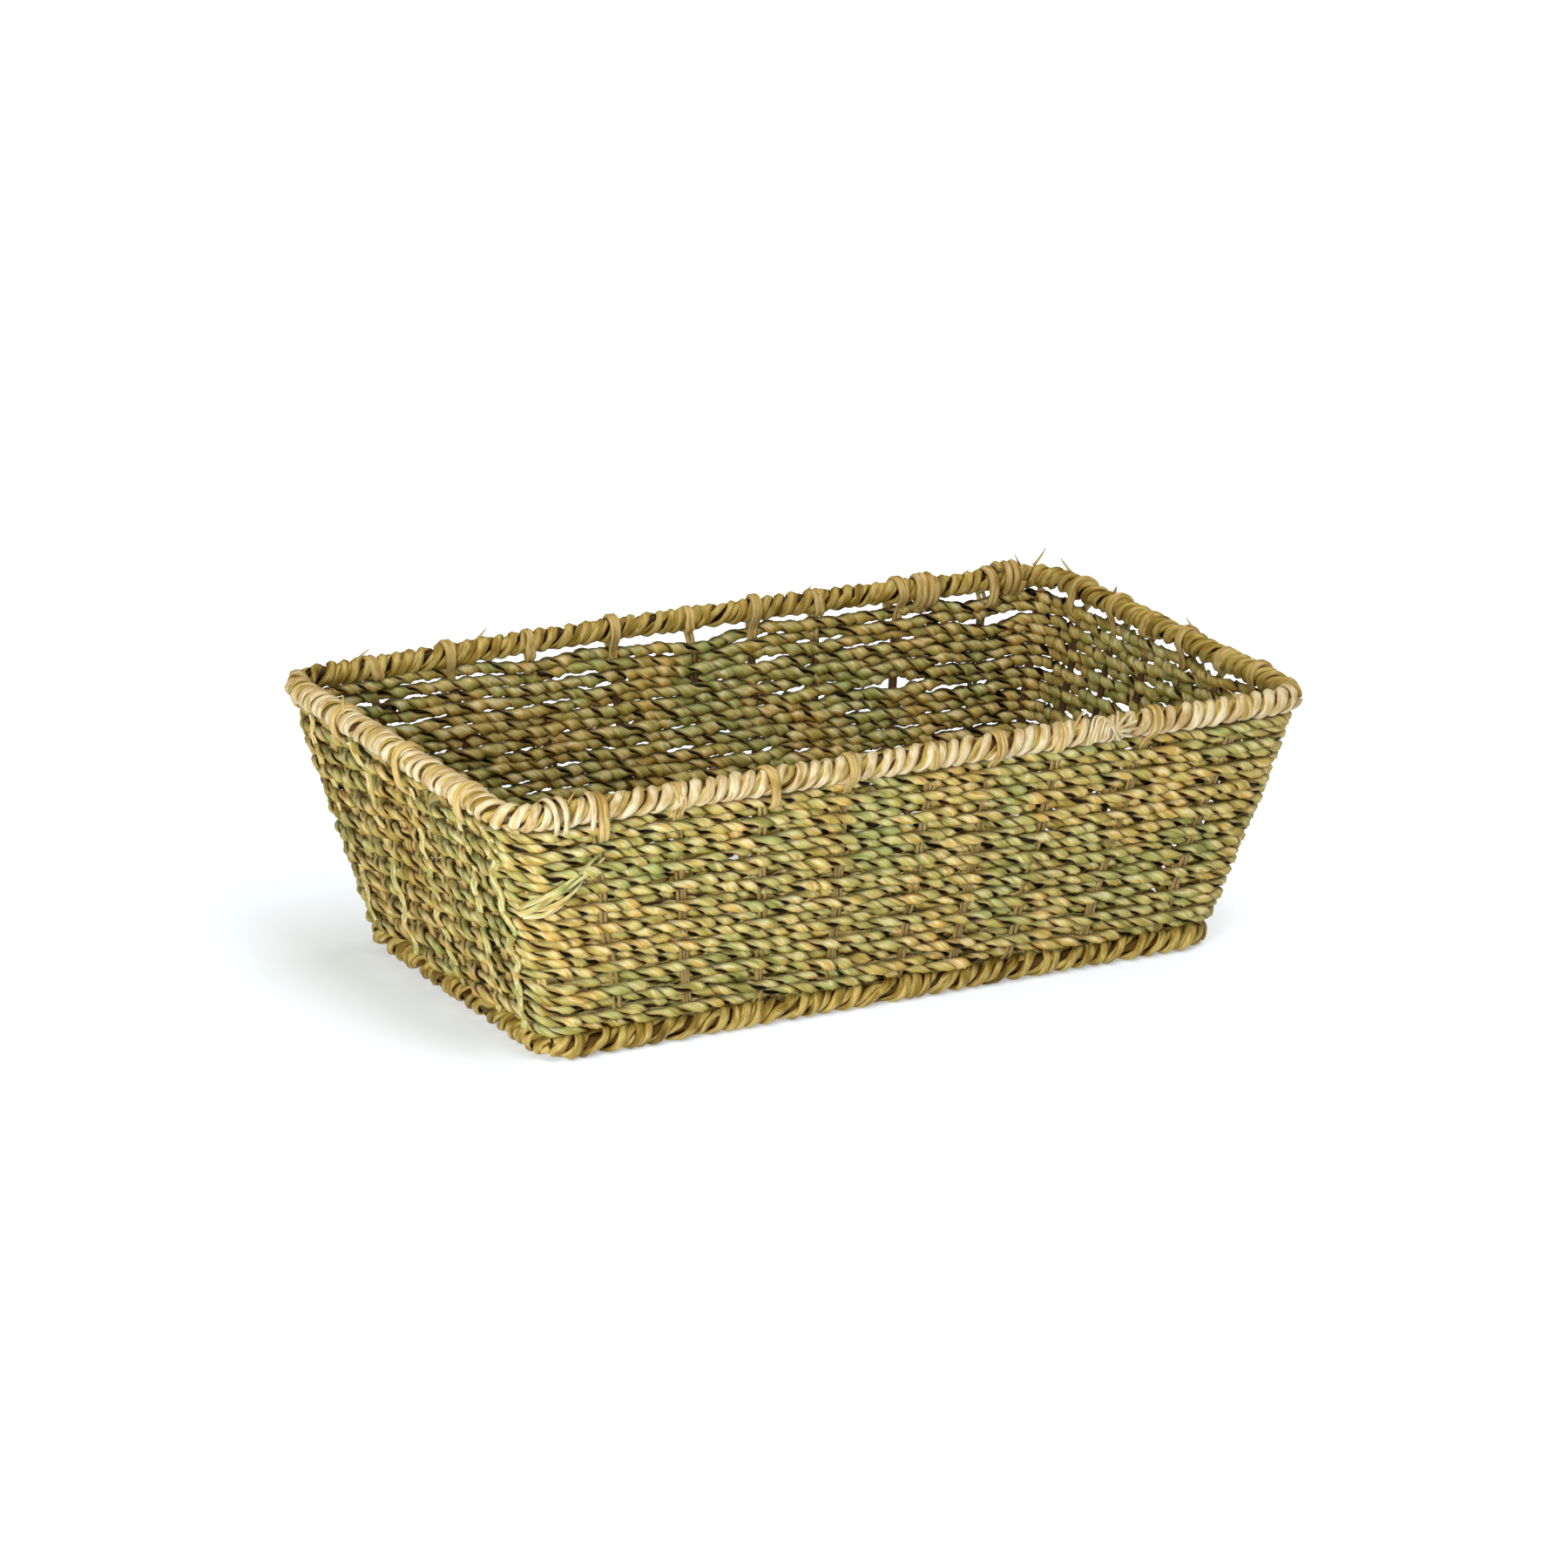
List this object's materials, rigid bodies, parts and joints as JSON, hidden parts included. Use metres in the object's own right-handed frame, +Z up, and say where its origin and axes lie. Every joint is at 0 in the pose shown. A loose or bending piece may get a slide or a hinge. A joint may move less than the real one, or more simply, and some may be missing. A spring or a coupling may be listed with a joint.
{
  "type": "bread basket",
  "caption": "Shallow rectangular basket with flared walls, woven from twisted grass rope around upright stakes, with a wrapped wire rim and foot.",
  "frame": {"origin": "under the middle of the basket, on the surface that it stands on", "axes": "+X along the length, -Y towards the front, +Z up"},
  "size_m": [0.3846, 0.2202, 0.1202],
  "materials": {
    "rim_straw": "dry flat leaf strand, matt with a faint sheen along the fibres",
    "foot_straw": "dry flat leaf strand, matt, a little greener and darker than the rim",
    "seagrass_rope": "twisted natural grass, sage green to straw yellow, matt with fine lengthwise fibres",
    "stake_twine": "thin tan strands, matt",
    "frame_wire": "dull drawn wire, hidden inside the wrapping"
  },
  "bodies": {
    "root": {"rim_wire": "frame_wire", "foot_wire": "frame_wire", "rim_wrap_back": "rim_straw", "rim_wrap_left": "rim_straw", "rim_wrap_front": "rim_straw", "rim_wrap_right": "rim_straw", "rim_knot_1": "rim_straw", "rim_knot_2": "rim_straw", "rim_knot_3": "rim_straw", "foot_wrap_back": "foot_straw", "foot_wrap_left": "foot_straw", "foot_wrap_front": "foot_straw", "foot_wrap_right": "foot_straw", "weft_row_01": "seagrass_rope", "weft_row_02": "seagrass_rope", "weft_row_03": "seagrass_rope", "weft_row_04": "seagrass_rope", "weft_row_05": "seagrass_rope", "weft_row_06": "seagrass_rope", "weft_row_07": "seagrass_rope", "weft_row_08": "seagrass_rope", "weft_row_09": "seagrass_rope", "weft_row_10": "seagrass_rope", "weft_row_11": "seagrass_rope", "weft_row_12": "seagrass_rope", "weft_row_13": "seagrass_rope", "weft_row_14": "seagrass_rope", "weft_row_15": "seagrass_rope", "weft_row_16": "seagrass_rope", "weft_row_17": "seagrass_rope", "weft_row_18": "seagrass_rope", "weft_row_19": "seagrass_rope", "weft_row_20": "seagrass_rope", "base_rope": "seagrass_rope", "cross_stake_1": "stake_twine", "cross_stake_2": "stake_twine", "cross_stake_3": "stake_twine", "cross_stake_4": "stake_twine", "cross_stake_5": "stake_twine", "cross_stake_6": "stake_twine", "cross_stake_7": "stake_twine", "cross_stake_8": "stake_twine", "cross_stake_9": "stake_twine", "long_stake_1": "stake_twine", "long_stake_2": "stake_twine", "long_stake_3": "stake_twine", "long_stake_4": "stake_twine", "long_stake_5": "stake_twine", "long_stake_6": "stake_twine", "corner_post_back_right": "stake_twine", "corner_post_back_left": "stake_twine", "corner_post_front_left": "stake_twine", "corner_post_front_right": "stake_twine"}
  },
  "joints": []
}
